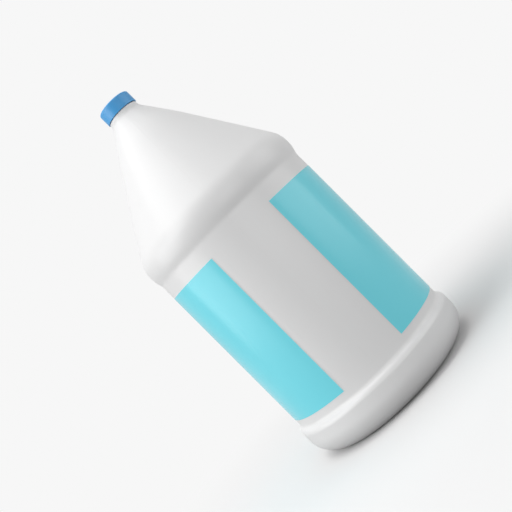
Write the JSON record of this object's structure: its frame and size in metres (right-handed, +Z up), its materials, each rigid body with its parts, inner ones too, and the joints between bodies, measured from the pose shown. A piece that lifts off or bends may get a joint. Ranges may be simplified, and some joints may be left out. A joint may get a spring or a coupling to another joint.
{
  "type": "bleach bottle",
  "caption": "Round blow-moulded bleach bottle with a conical shoulder, stepped foot, recessed label panel, film labels and a screw cap that unscrews to pour.",
  "frame": {"origin": "centre of the standing ring, on the surface the bottle stands on", "axes": "+Z up along the bottle's axis through the neck and cap; -Y is the front, where the bare strip between the labels faces; +X is to the right seen from the front"},
  "size_m": [0.1556, 0.1556, 0.3156],
  "materials": {
    "bottle_plastic": "semi-gloss white polyethylene",
    "cap_plastic": "satin blue polypropylene",
    "liner_foam": "matt white foamed polyethylene",
    "label_film": "satin cyan film"
  },
  "bodies": {
    "jug": {"bottle": "bottle_plastic", "label_left": "label_film", "label_right": "label_film"},
    "liner": {"cap_liner": "liner_foam"},
    "closure": {"cap": "cap_plastic"}
  },
  "joints": [
    {"name": "cap_rise", "type": "slide", "parent": "jug", "child": "liner", "axis": [0, 0, 1], "range_m": [0, 0.0106]},
    {"name": "cap_turn", "type": "hinge", "parent": "liner", "child": "closure", "pos_m": [0, 0, 0.3103], "axis": [0, 0, 1], "range_deg": [0, 900]}
  ],
  "couplings": [
    {"joint": "cap_rise", "follows": "cap_turn", "m_per_rad": 0.0006737}
  ]
}
